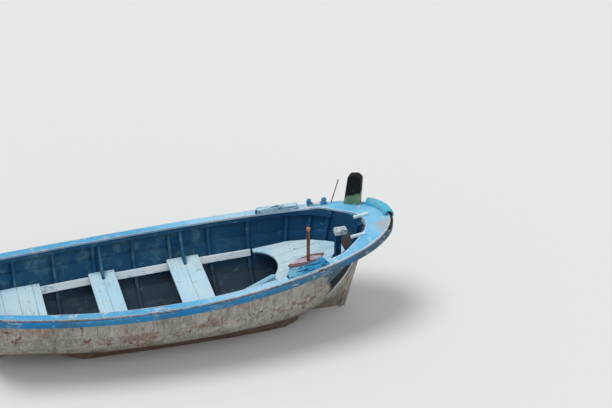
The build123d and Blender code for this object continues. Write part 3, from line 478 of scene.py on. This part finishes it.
def block_paint(box):
    """Rowlock blocks: blue with dark streaks, paler aft and to port, navy at the aft tip as painted
    shade on the aft end.
    """
    p = Paint("block_paint", BLOCK_GRAIN)
    n = p.n
    aft = box[0][0]
    p.coat(paint=(34, 146, 208), faded=(60, 162, 214))
    p.over(n.steps(n.x, aft + 0.17, aft + 0.10), (128, 196, 226))
    streaks = n.steps(p.lines, 0.50, 0.57)
    p.over(n.times(streaks, 0.9), (14, 58, 96))
    port = n.times(n.steps(n.y, 0.0, 0.2), n.steps(p.lines, 0.60, 0.50))
    p.over(port, (176, 208, 224))
    # Painted shade: the aft end of each block is darkened to navy
    p.over(n.steps(n.x, aft + 0.022, aft + 0.014), (14, 54, 92))
    p.wear(through=0.58, bare=0.63, under=(170, 208, 226), wood=(120, 96, 84), edge=0.7)
    p.cracks()
    return p.done()


def fairlead_paint(box):
    """Mid-blue horns, worn white in the middle."""
    p = Paint("fairlead_paint")
    n = p.n
    middle = (box[0][0] + box[1][0]) / 2
    p.coat(paint=(30, 118, 172), faded=(50, 136, 186))
    off_middle = n.blend((1.0, n.apart(n.x, middle)), (0.03, p.patches))
    p.over(n.steps(off_middle, 0.056, 0.044), (212, 216, 214))
    p.wear(through=0.57, bare=0.62, under=(160, 196, 214), wood=(140, 112, 96), edge=0.9)
    p.cracks()
    return p.done()


def post_head_paint():
    """Pale worn top of the tow post."""
    p = Paint("post_head_paint", EVEN)
    p.coat(paint=(206, 216, 214), faded=(190, 204, 204))
    p.dirt(0.5, (120, 124, 116), low=0.48, high=0.70)
    p.wear(through=0.55, bare=0.60, under=(150, 176, 184), wood=(116, 98, 84), edge=0.9)
    p.cracks()
    return p.done()


def bare_timber(name, light, dark):
    """Weathered wood: grain, darker blotches and splits."""
    n = Nodes(name)
    lines = n.noise(scale=2.4, detail=7.0, rough=0.68, warp=1.1, vector=n.stretched(TIMBER_GRAIN))
    blotch = n.noise(scale=6.0, detail=5.0, rough=0.6)
    color = n.mix(n.steps(lines, 0.3, 0.72), srgb(dark), srgb(light))
    color = n.mix(n.times(n.steps(blotch, 0.5, 0.8), 0.45), color, srgb(dark, 0.6))
    fine = n.stretched((TIMBER_GRAIN[0], TIMBER_GRAIN[1] * 3, TIMBER_GRAIN[2] * 3))
    pattern = n.noise(scale=3.2, detail=3.0, rough=0.5, warp=0.2, vector=fine)
    splits = n.steps(pattern, 0.68, 0.72)
    color = n.mix(n.times(splits, 0.8), color, srgb(dark, 0.3))
    relief = n.math("SUBTRACT", lines, splits)
    return n.finish(color, rough=0.82, normal=n.bump(relief, strength=0.6, distance=0.002))


def pad_timber(box):
    """Rowlock pad: purplish brown rim, grey and lilac where the oar rubs."""
    n = Nodes("pad_timber")
    middle = [(box[0][i] + box[1][i]) / 2 for i in range(3)]
    lines = n.noise(scale=3.0, detail=7.0, rough=0.68, warp=1.0, vector=n.stretched(PAD_GRAIN))
    color = n.mix(n.steps(lines, 0.35, 0.68), srgb((92, 66, 72)), srgb((128, 98, 104)))
    rubbed = n.near(middle, (0.15, 0.036, 0.2), ragged=0.8)
    color = n.mix(n.times(rubbed, n.steps(lines, 0.36, 0.52)), color, srgb((188, 182, 196)))
    return n.finish(color, rough=0.75, normal=n.bump(lines, strength=0.6, distance=0.002))


def rust(name, dark, light, rough=0.85):
    """Pitted rusty metal."""
    n = Nodes(name)
    blotch = n.noise(scale=40.0, detail=6.0, rough=0.65, warp=0.6)
    color = n.mix(n.steps(blotch, 0.35, 0.65), srgb(dark), srgb(light))
    pits = n.noise(scale=160.0, detail=5.0, rough=0.7)
    return n.finish(color, rough, normal=n.bump(pits, strength=0.7, distance=0.0015))


# Heights below the pin's top where its head starts and is full
PIN_HEAD_FROM, PIN_HEAD_FULL = 0.036, 0.030


def pin_metal(box):
    """Thole pin: rusty shank, copper-coloured head."""
    n = Nodes("pin_metal")
    blotch = n.noise(scale=46.0, detail=6.0, rough=0.65, warp=0.6)
    color = n.mix(n.steps(blotch, 0.35, 0.65), srgb((72, 46, 36)), srgb((122, 82, 60)))
    head = n.steps(n.z, box[1][2] - PIN_HEAD_FROM, box[1][2] - PIN_HEAD_FULL)
    color = n.mix(head, color, n.mix(blotch, srgb((196, 132, 96)), srgb((158, 92, 62))))
    pits = n.noise(scale=160.0, detail=5.0, rough=0.7)
    return n.finish(color, rough=0.7, normal=n.bump(pits, strength=0.6, distance=0.0012))


def fender_hose():
    """Cyan hose, sun-faded in grey-green patches."""
    n = Nodes("hose")
    patches = n.noise(scale=16.0, detail=6.0, rough=0.6, warp=0.5)
    color = n.mix(n.steps(patches, 0.42, 0.62), srgb((72, 186, 226)), srgb((112, 186, 204)))
    faded = n.steps(n.noise(scale=7.0, detail=5.0, rough=0.6), 0.54, 0.68)
    color = n.mix(faded, color, srgb((120, 158, 158)))
    scuffs = n.times(n.steps(n.noise(scale=60.0, detail=4.0), 0.55, 0.75), 0.5)
    color = n.mix(scuffs, color, srgb((60, 110, 122)))
    skin = n.noise(scale=90.0, detail=5.0, rough=0.6)
    normal = n.bump(skin, strength=0.35, distance=0.001)
    return n.finish(color, rough=n.blend((0.3, patches), (1.0, 0.42)), normal=normal)


GREEN_SLOPE = 0.55
GREEN_GONE, GREEN_FULL = 1.132, 1.092


def black_head(box):
    """Timberhead: cracked black paint over a green foot, its border rising forward."""
    n = Nodes("black_paint")
    lines = n.noise(scale=2.0, detail=6.0, rough=0.65, warp=0.6, vector=n.stretched(HEAD_GRAIN))
    patches = n.noise(scale=14.0, detail=6.0, rough=0.6, warp=0.5)
    color = n.mix(n.steps(patches, 0.45, 0.75), srgb((10, 12, 18)), srgb((28, 28, 34)))
    forward = n.math("SUBTRACT", n.x, (box[0][0] + box[1][0]) / 2)
    rise = n.blend((1.0, n.z), (-GREEN_SLOPE, forward), (0.12, patches))
    green = n.mix(n.steps(patches, 0.4, 0.6), srgb((112, 144, 104)), srgb((142, 164, 126)))
    color = n.mix(n.steps(rise, GREEN_GONE, GREEN_FULL), color, green)
    worn = n.steps(n.blend((0.5, patches), (0.5, lines), (0.6, n.edges(0.008))), 0.62, 0.66)
    color = n.mix(worn, color, srgb((94, 80, 72)))
    return n.finish(color, rough=0.62, normal=n.bump(lines, strength=0.7, distance=0.003))


def rubber():
    """Dull black rubber, grey with grime."""
    n = Nodes("black_rubber")
    grime = n.noise(scale=30.0, detail=5.0, rough=0.6)
    color = n.mix(n.steps(grime, 0.4, 0.7), srgb((22, 22, 24)), srgb((60, 58, 56)))
    skin = n.noise(scale=120.0, detail=4.0)
    return n.finish(color, rough=0.7, normal=n.bump(skin, strength=0.3, distance=0.001))


SEAM_HALF = 0.0018


def thwart_seam(n):
    """A seam along the middle of each thwart, which is two planks wide."""
    middles = []
    for node in ("thwart_fore", "thwart_aft"):
        low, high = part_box(node)
        middles.append((low[0] + high[0]) / 2)
    return n.seam(n.x, middles[0] - middles[1], SEAM_HALF, -middles[0])


# The looks of the pieces
CAP = cap_paint()
CAP_EDGE = cap_edge_paint()
RAIL = rail_paint()
INSIDE = inside_paint()
LIGHT = light_paint()
HULL = hull_paint()
# Painted shade: the sheer, fifth and fourth strakes are darkened toward the bow, under the nose
HULL_SHEER = hull_paint("hull_sheer_paint_and_shade", SHEER_GREY_AND_SHADE, bow_start=1.22)
HULL_FIFTH = hull_paint("hull_fifth_paint_and_shadow", UNDER_NOSE_PAINT_AND_SHADOW, bow_start=1.28)
HULL_FOURTH = hull_paint("hull_fourth_paint_shadow_highlight", UNDER_NOSE_PAINT_AND_SHADOW, bow_start=1.30, pale_lap_highlight=True)
PLATFORM = pale_boards("platform_paint", lambda n: n.seam(n.y, pitch=0.150, half=SEAM_HALF, shift=0.020))
BENCH = pale_boards("bench_paint", lambda n: n.seam(n.y, pitch=0.130, half=SEAM_HALF, shift=0.055))
SEAT = pale_boards("seat_paint", lambda n: n.seam(n.x, pitch=0.155, half=SEAM_HALF, shift=0.040), ACROSS)
THWART = pale_boards("thwart_paint", thwart_seam, ACROSS)
RAIL_TOP = bench_rail_paint()
POST_HEAD = post_head_paint()
BOARD = bare_timber("floor_timber", light=(74, 58, 46), dark=(38, 28, 22))
RUNNER = bare_timber("runner_timber", light=(122, 104, 90), dark=(70, 54, 46))
PAD = pad_timber(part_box("rowlock_pad"))
BLOCK = block_paint(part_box("rowlock_blocks"))
FAIRLEAD = fairlead_paint(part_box("fairlead"))
PIN = pin_metal(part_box("thole_pin"))
IRON = rust("rusty_iron", dark=(58, 36, 26), light=(112, 66, 40))
NAIL = rust("nail_metal", dark=(74, 58, 50), light=(118, 96, 84), rough=0.7)
HOSE = fender_hose()
BLACK = black_head(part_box("timberhead"))
RUBBER = rubber()


# Worn pieces that stand for the CAD nodes
def cad_mesh(node):
    return bpy.data.objects[node].data


WELD = 1e-6
FLAT_ANGLE = math.radians(0.6)
SHARP_ANGLE = math.radians(35.0)
# Widths of worn, rounded edges in metres, from the thin rod to the heavy post
ROD_EDGE = 0.0005
PLANK_EDGE = 0.0015
SAWN_EDGE = 0.002
WORN_EDGE = 0.003
BLUNT_EDGE = 0.004
HEAD_EDGE = 0.005
POST_EDGE = 0.008
COARSE, SMOOTH = 2, 3


def dressed(node, materials, edge=SAWN_EDGE, steps=COARSE, choose=None, cuts=()):
    """A copy of a CAD node with worn, rounded edges that stands for it.

    choose gives each face its material. cuts are places and normals where a face is cut in two for it.
    """
    mesh = cad_mesh(node).copy()
    mesh.name = "worn_" + node
    piece = bpy.data.objects.new("worn_" + node, mesh)
    bpy.context.scene.collection.objects.link(piece)
    mesh.materials.clear()
    for material in materials:
        mesh.materials.append(material)
    bm = bmesh.new()
    bm.from_mesh(mesh)
    bmesh.ops.remove_doubles(bm, verts=bm.verts, dist=WELD)
    bmesh.ops.dissolve_limit(bm, angle_limit=FLAT_ANGLE, verts=bm.verts, edges=bm.edges)
    for place, normal in cuts:
        everything = bm.verts[:] + bm.edges[:] + bm.faces[:]
        bmesh.ops.bisect_plane(bm, geom=everything, plane_co=place, plane_no=normal)
    bm.normal_update()
    for face in bm.faces:
        face.smooth = True
        face.material_index = choose(face) if choose else 0
    bm.to_mesh(mesh)
    bm.free()
    rounding = piece.modifiers.new("rounding", "BEVEL")
    rounding.width = edge
    rounding.segments = steps
    rounding.limit_method = "ANGLE"
    rounding.angle_limit = SHARP_ANGLE
    mesh.set_sharp_from_angle(angle=SHARP_ANGLE)
    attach(piece, "root")
    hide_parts(node)


# Shares of a face's normal that tell which way it faces
FACING = 0.8
LEVEL = 0.6
OUTWARD = 0.3
# Forward of this x the sides turn in toward the bow
BOW_FROM = 0.6
PLANK_OUT_FORWARD, PLANK_OUT_UP = 0.3, -0.6


def planking_side(face):
    """0 for a plank's outer face and sawn aft end, 1 for its inner face."""
    middle = face.calc_center_median()
    if middle.x < 0 and face.normal.x < -FACING:
        return 0
    forward = PLANK_OUT_FORWARD * (middle.x > BOW_FROM)
    outward = Vector((forward, math.copysign(1.0, middle.y), PLANK_OUT_UP))
    return 0 if face.normal.dot(outward) > 0 else 1


def cap_side(face):
    """1 for the upright outer edge of the cap, 0 for the rest."""
    middle = face.calc_center_median()
    outward = face.normal.y * math.copysign(1.0, middle.y) + face.normal.x * (middle.x > BOW_FROM)
    return 1 if abs(face.normal.z) < LEVEL and outward > OUTWARD else 0


def transom_side(face):
    """0 outside and on the edges, 1 on the inner face."""
    return 1 if face.normal.x > FACING else 0


def keel_side(face):
    """1 on the top, inside the boat, 0 outside."""
    return 1 if face.normal.z > LEVEL else 0


def planks_fore_end():
    """Place and forward normal of the raked line on which the planks end at the stem."""
    low, high = (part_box(node)[1] for node in ("strake_2_second", "strake_6_sheer"))
    along = Vector((high[0] - low[0], 0.0, high[2] - low[2])).normalized()
    return Vector((high[0], 0.0, high[2])), Vector((along.z, 0.0, -along.x))


PLANKS_END, PLANKS_FORWARD = planks_fore_end()
INSIDE_FROM_Z = 0.35
STEM_CUTS = (
    (PLANKS_END, PLANKS_FORWARD),
    (Vector((0, 0, INSIDE_FROM_Z)), Vector((0, 0, 1))),
)


def stem_side(face):
    """1 behind the planks' fore ends, where the stem shows inside the boat, 0 outside."""
    middle = face.calc_center_median()
    behind = (middle - PLANKS_END).dot(PLANKS_FORWARD) < 0
    return 1 if behind and middle.z > INSIDE_FROM_Z else 0


# The paint outside on each plank; the inside has one paint
STRAKE_PAINTS = {
    "strake_1_garboard": HULL,
    "strake_2_second": HULL,
    "strake_3_bilge": HULL,
    "strake_4_fourth": HULL_FOURTH,
    "strake_5_fifth": HULL_FIFTH,
    "strake_6_sheer": HULL_SHEER,
}
for node, paint in STRAKE_PAINTS.items():
    dressed(node, (paint, INSIDE), PLANK_EDGE, choose=planking_side)
dressed("keel", (HULL, INSIDE), BLUNT_EDGE, choose=keel_side)
dressed("stem", (HULL, INSIDE), BLUNT_EDGE, choose=stem_side, cuts=STEM_CUTS)
dressed("sternpost", (HULL,), BLUNT_EDGE)
dressed("transom", (HULL, INSIDE), BLUNT_EDGE, choose=transom_side)
for node in ("frames", "inwales", "platform_risers", "thwart_knees", "tow_post"):
    dressed(node, (INSIDE,))
for node in ("cap_nose", "cap_sides", "cap_stern"):
    dressed(node, (CAP, CAP_EDGE), WORN_EDGE, choose=cap_side)
dressed("nose_cleats", (LIGHT,), BLUNT_EDGE, SMOOTH)
dressed("rowlock_blocks", (BLOCK,), WORN_EDGE)
dressed("fairlead", (FAIRLEAD,), BLUNT_EDGE, SMOOTH)
for node in ("rub_rail", "nose_block"):
    dressed(node, (RAIL,), BLUNT_EDGE, SMOOTH)
dressed("risers", (LIGHT,), WORN_EDGE)
dressed("bench_rail", (RAIL_TOP,), WORN_EDGE)
for node in ("thwart_fore", "thwart_aft"):
    dressed(node, (THWART,), WORN_EDGE)
dressed("stern_seat", (SEAT,), WORN_EDGE)
dressed("tow_post_head", (POST_HEAD,), HEAD_EDGE, SMOOTH)
dressed("bow_platform", (PLATFORM,), WORN_EDGE)
dressed("side_bench", (BENCH,), WORN_EDGE)
dressed("bottom_boards", (BOARD,))
dressed("bilge_runners", (RUNNER,), WORN_EDGE)
dressed("timberhead", (BLACK,), POST_EDGE, SMOOTH)
dressed("nose_fender", (HOSE,))
dressed("fender_strip", (RUBBER,))
dressed("rowlock_pad", (PAD,), WORN_EDGE)
dressed("thole_pin", (PIN,), PLANK_EDGE, SMOOTH)
dressed("iron_rod", (IRON,), ROD_EDGE)


# Rivets and nails, seated on the CAD by rays
class Surface:
    """CAD nodes as one surface to aim rays at."""

    def __init__(self, *nodes):
        corners, faces, self.owner = [], [], []
        for node in nodes:
            mesh = cad_mesh(node)
            start = len(corners)
            corners += [vertex.co.copy() for vertex in mesh.vertices]
            faces += [[start + index for index in polygon.vertices] for polygon in mesh.polygons]
            self.owner += [node] * len(mesh.polygons)
        self.tree = BVHTree.FromPolygons(corners, faces)

    def hit(self, start, direction):
        """Place, outward normal and node that a ray meets first, or None."""
        place, normal, index, _ = self.tree.ray_cast(Vector(start), Vector(direction))
        if place is None:
            return None
        if normal.dot(Vector(direction)) > 0:
            normal = -normal
        return place, normal, self.owner[index]


STUD_SIDES = 8
# Share of a stud's radius and of its height at each ring, from its sunk foot up
STUD_RINGS = ((1.0, -0.25), (0.96, 0.3), (0.62, 0.85))
STUD_SHARP = math.radians(50)


def stud_loops(bm, stand, radius, height):
    """Rings of vertices of one stud, from its foot up."""
    loops = []
    for share, lift in STUD_RINGS:
        loop = []
        for side in range(STUD_SIDES):
            angle = math.tau * side / STUD_SIDES
            x = math.cos(angle) * radius * share
            y = math.sin(angle) * radius * share
            loop.append(bm.verts.new(stand @ Vector((x, y, height * lift))))
        loops.append(loop)
    return loops


def studs(name, seats, radius, height, material):
    """Round nail heads, one on each seat of place and normal, as one piece."""
    bm = bmesh.new()
    for place, normal in seats:
        turn = normal.to_track_quat("Z", "Y").to_matrix().to_4x4()
        loops = stud_loops(bm, Matrix.Translation(place) @ turn, radius, height)
        for low, high in zip(loops, loops[1:]):
            for side in range(STUD_SIDES):
                after = (side + 1) % STUD_SIDES
                bm.faces.new((low[side], low[after], high[after], high[side]))
        bm.faces.new(loops[-1])
        bm.faces.new(tuple(reversed(loops[0])))
    for face in bm.faces:
        face.smooth = True
    mesh = bpy.data.meshes.new(name)
    bm.to_mesh(mesh)
    bm.free()
    mesh.set_sharp_from_angle(angle=STUD_SHARP)
    mesh.materials.append(material)
    piece = bpy.data.objects.new(name, mesh)
    bpy.context.scene.collection.objects.link(piece)
    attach(piece, "root")


# Rivets through the laps, outside and inside, in sections along the planking
RIVET_PITCH = 0.155
RIVET_AFT, RIVET_FORE = -1.80, 1.42
RIVET_RADIUS, RIVET_TALL = 0.0065, 0.0022
LAP_IN = 0.013
# A section is swept from a middle height, in degrees from the horizontal
SWEEP_Z = 0.62
SWEEP_FROM, SWEEP_WIDE, SWEEP_STEPS = -86, 84, 240
BEYOND_HULL = 2.0
CLEAR_OF_PLANK = 0.5
planking = Surface(*STRAKE_PAINTS)


def lap_seats(x, side, inside):
    """Places and normals where one plank gives way to the next above it, at one x."""
    centre = Vector((x, 0.0, SWEEP_Z))
    edges = []
    last = None
    for step in range(SWEEP_STEPS + 1):
        angle = math.radians(SWEEP_FROM + SWEEP_WIDE * step / SWEEP_STEPS)
        away = Vector((0, math.cos(angle) * side, math.sin(angle)))
        if inside:
            found = planking.hit(centre, away)
        else:
            found = planking.hit(centre + away * BEYOND_HULL, -away)
        if found and last and found[2] != last[2]:
            edges.append((last if inside else found, away))
        if found:
            last = found
    # The rivet sits just inside the visible edge of the overlapping plank
    shift = Vector((0, 0, -LAP_IN if inside else LAP_IN))
    seats = []
    for edge, away in edges:
        aim = edge[0] + shift
        if inside:
            seat = planking.hit(centre, (aim - centre).normalized())
        else:
            seat = planking.hit(aim + away * CLEAR_OF_PLANK, -away)
        if seat:
            seats.append(seat[:2])
    return seats


outer_rivets, inner_rivets = [], []
rivet_sections = int((RIVET_FORE - RIVET_AFT) / RIVET_PITCH) + 1
for index in range(rivet_sections):
    x = RIVET_AFT + index * RIVET_PITCH
    for side in (-1, 1):
        outer_rivets += lap_seats(x, side, inside=False)
        inner_rivets += lap_seats(x, side, inside=True)
studs("lap_rivets_outside", outer_rivets, RIVET_RADIUS, RIVET_TALL, HULL)
studs("lap_rivets_inside", inner_rivets, RIVET_RADIUS, RIVET_TALL, INSIDE)

ABOVE = 2.0
SPAN_STEP, SPAN_COUNT = 0.005, 200


def top_hit(surface, x, y):
    """What a ray from above meets, if it is level, or None."""
    found = surface.hit((x, y, ABOVE), (0, 0, -1))
    return found if found and found[1].z > FACING else None


def top_seats(surface, rows):
    """Places and normals straight below each (x, y), where the surface lies there."""
    found = [top_hit(surface, x, y) for x, y in rows]
    return [seat[:2] for seat in found if seat]


def span_across(surface, x, side):
    """Inner and outer y of a surface seen from above at x on one side, or None."""
    lines = [side * SPAN_STEP * step for step in range(SPAN_COUNT)]
    hits = [y for y in lines if top_hit(surface, x, y)]
    return (hits[0], hits[-1]) if hits else None


# Nails down the covering boards, in staggered pairs
NAIL_RADIUS, NAIL_TALL = 0.0052, 0.0014
NAIL_IN = 0.2
NAIL_AFT, NAIL_PITCH, NAIL_PAIRS = -1.90, 0.155, 24
NAIL_STAGGER = 0.02
cover = Surface("cap_nose", "cap_sides")
cover_rows = []
for index in range(NAIL_PAIRS):
    x = NAIL_AFT + NAIL_PITCH * index
    for side in (-1, 1):
        span = span_across(cover, x, side)
        if span:
            inset = (span[1] - span[0]) * NAIL_IN
            cover_rows += [(x, span[0] + inset), (x + NAIL_STAGGER, span[1] - inset)]
studs("cover_nails", top_seats(cover, cover_rows), NAIL_RADIUS, NAIL_TALL, NAIL)

# Nails at the ends of the seats' and platform's boards
END_IN = 0.03
PLATFORM_ROWS = (0.03, 0.34, 0.62)
PLATFORM_PITCH, PLATFORM_SHIFT, PLATFORM_EACH_SIDE = 0.075, 0.02, 9
BENCH_NAILS = (-0.20, -0.27, -0.33, -0.40, -0.46, -0.53, -0.59)
SEATS = ("thwart_fore", "thwart_aft", "stern_seat")
boards = Surface(*SEATS, "bow_platform", "side_bench")
board_rows = []
for node in SEATS:
    low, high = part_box(node)
    seat = Surface(node)
    middle = (low[0] + high[0]) / 2
    for x in (low[0] + END_IN, middle - END_IN, middle + END_IN, high[0] - END_IN):
        for side in (-1, 1):
            span = span_across(seat, x, side)
            if span:
                board_rows.append((x, span[1] - side * END_IN))
low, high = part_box("bow_platform")
for row in PLATFORM_ROWS:
    for step in range(-PLATFORM_EACH_SIDE, PLATFORM_EACH_SIDE + 1):
        board_rows.append((low[0] + row, step * PLATFORM_PITCH + PLATFORM_SHIFT))
low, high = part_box("side_bench")
for x in (low[0] + END_IN, high[0] - END_IN):
    for y in BENCH_NAILS:
        board_rows.append((x, y))
studs("board_nails", top_seats(boards, board_rows), NAIL_RADIUS, NAIL_TALL, NAIL)

# Floor, light and background
FLOOR_HALF = 60.0
FLOOR_COLOR = (228, 228, 226)
FLOOR_ROUGH = 0.9
SKY_COLOR = (0.94, 0.97, 1.0, 1.0)
SKY_STRENGTH = 0.5
floor_mesh = bpy.data.meshes.new("floor")
floor_mesh.from_pydata(
    [(x * FLOOR_HALF, y * FLOOR_HALF, 0) for x, y in ((-1, -1), (1, -1), (1, 1), (-1, 1))],
    [],
    [(0, 1, 2, 3)],
)
floor = bpy.data.objects.new("floor", floor_mesh)
bpy.context.scene.collection.objects.link(floor)
floor_mesh.materials.append(Nodes("floor").finish(srgb(FLOOR_COLOR), FLOOR_ROUGH))

world = bpy.data.worlds.new("world")
bpy.context.scene.world = world
world.use_nodes = True
sky = world.node_tree.nodes["Background"]
sky.inputs["Color"].default_value = SKY_COLOR
sky.inputs["Strength"].default_value = SKY_STRENGTH


def sun(name, toward_light, strength, softness):
    """A sun lamp; softness is its width in degrees."""
    data = bpy.data.lights.new(name, "SUN")
    data.energy = strength
    data.angle = math.radians(softness)
    lamp = bpy.data.objects.new(name, data)
    bpy.context.scene.collection.objects.link(lamp)
    lamp.rotation_euler = Vector(toward_light).to_track_quat("Z", "Y").to_euler()


sun("key", toward_light=(-0.35, 0.10, 1.0), strength=1.55, softness=30.0)
sun("fill", toward_light=(0.5, -1.0, 0.7), strength=0.55, softness=60.0)

bpy.context.scene.view_settings.view_transform = "Standard"
